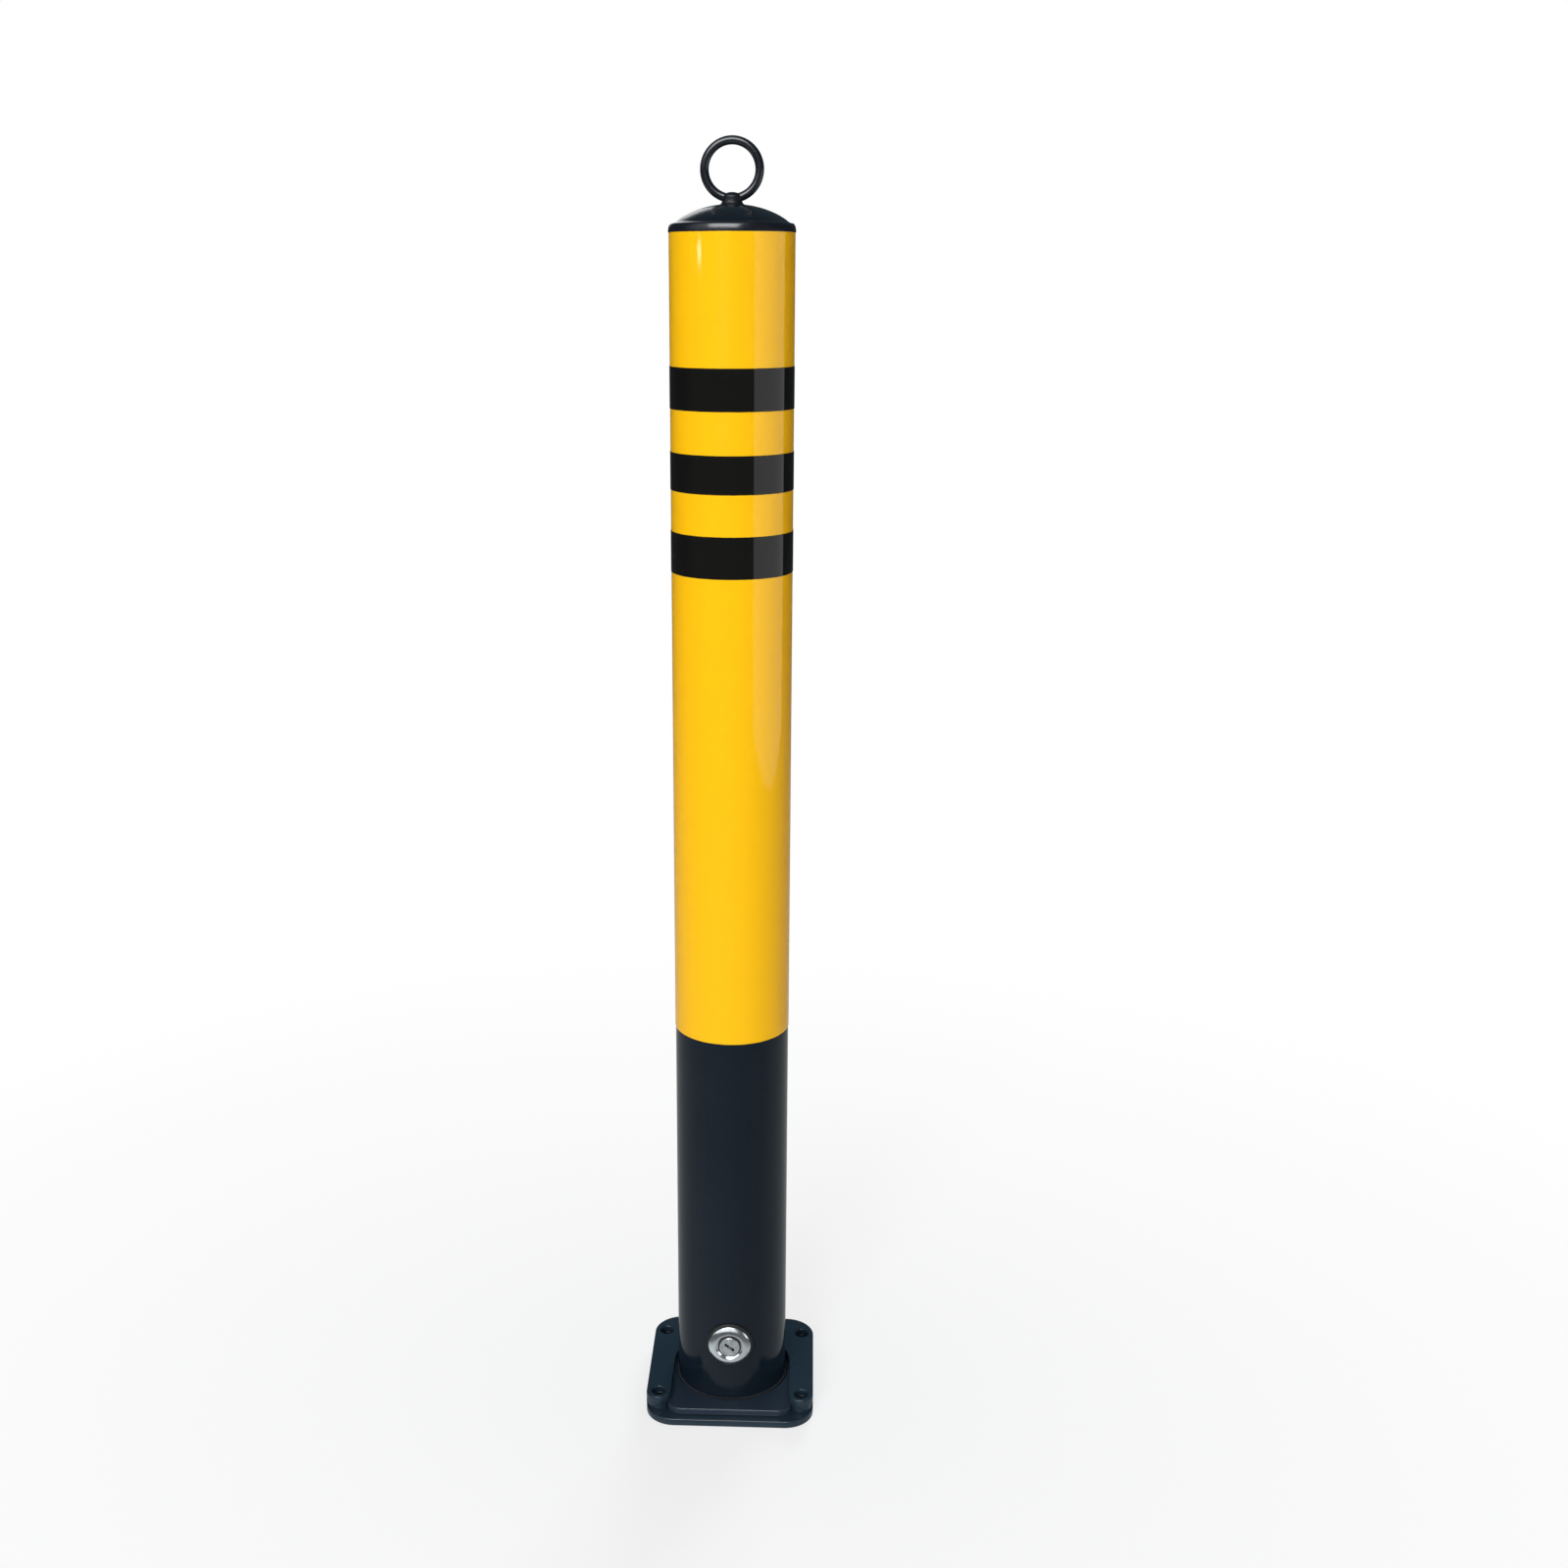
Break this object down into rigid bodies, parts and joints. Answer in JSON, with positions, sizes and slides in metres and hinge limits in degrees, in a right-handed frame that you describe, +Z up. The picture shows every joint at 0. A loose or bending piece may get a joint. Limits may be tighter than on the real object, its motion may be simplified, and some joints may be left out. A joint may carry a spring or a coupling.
{
  "type": "removable safety post",
  "caption": "Round steel safety post with yellow film, black bands, domed cap, lifting ring and key lock, on a foot that slides into a bolted base plate.",
  "frame": {"origin": "the tube's axis on the ground, which is the middle of the base plate's underside", "axes": "+Z up along the tube, -Y to the front, where the lock is and the post slides out, +X to the right seen from the front"},
  "size_m": [0.116, 0.114, 0.8446],
  "materials": {
    "base_paint": "gloss blue-black powder coat",
    "post_paint": "gloss black powder coat",
    "cap_paint": "high gloss black paint",
    "yellow_film": "glossy yellow film",
    "black_film": "glossy black tape",
    "lock_chrome": "polished chrome",
    "plug_metal": "polished nickel",
    "seal_rubber": "matt black rubber",
    "zinc_steel": "zinc plated",
    "spring_steel": "blackened spring steel"
  },
  "bodies": {
    "base": {"floor_plate": "base_paint", "groove_spacer": "base_paint", "lip_plate": "base_paint"},
    "post": {"foot_plate": "post_paint", "post_tube": "post_paint", "domed_cap": "cap_paint", "ring_boss": "cap_paint", "lift_ring": "cap_paint", "yellow_film": "yellow_film", "black_band_1": "black_film", "black_band_2": "black_film", "black_band_3": "black_film", "lock_housing": "lock_chrome", "lock_seal": "seal_rubber", "lock_washer": "zinc_steel", "lock_nut": "zinc_steel", "bolt_guide_left": "zinc_steel", "bolt_guide_right": "zinc_steel"},
    "plug": {"lock_plug": "plug_metal", "lock_crank": "zinc_steel", "lock_clip": "spring_steel"},
    "bolt": {"lock_bolt": "zinc_steel"}
  },
  "joints": [
    {"name": "post_slide", "type": "slide", "parent": "base", "child": "post", "axis": [0, -1, 0], "range_m": [0, 0.12]},
    {"name": "lock_turn", "type": "hinge", "parent": "post", "child": "plug", "pos_m": [0, -0.0423, 0.0526], "axis": [0, -1, 0], "range_deg": [0, 90]},
    {"name": "bolt_lift", "type": "slide", "parent": "post", "child": "bolt", "axis": [0, 0, 1], "range_m": [-0.0099, 0]}
  ],
  "couplings": [
    {"joint": "lock_turn", "follows": "bolt_lift", "rad_per_m": -158.6}
  ]
}
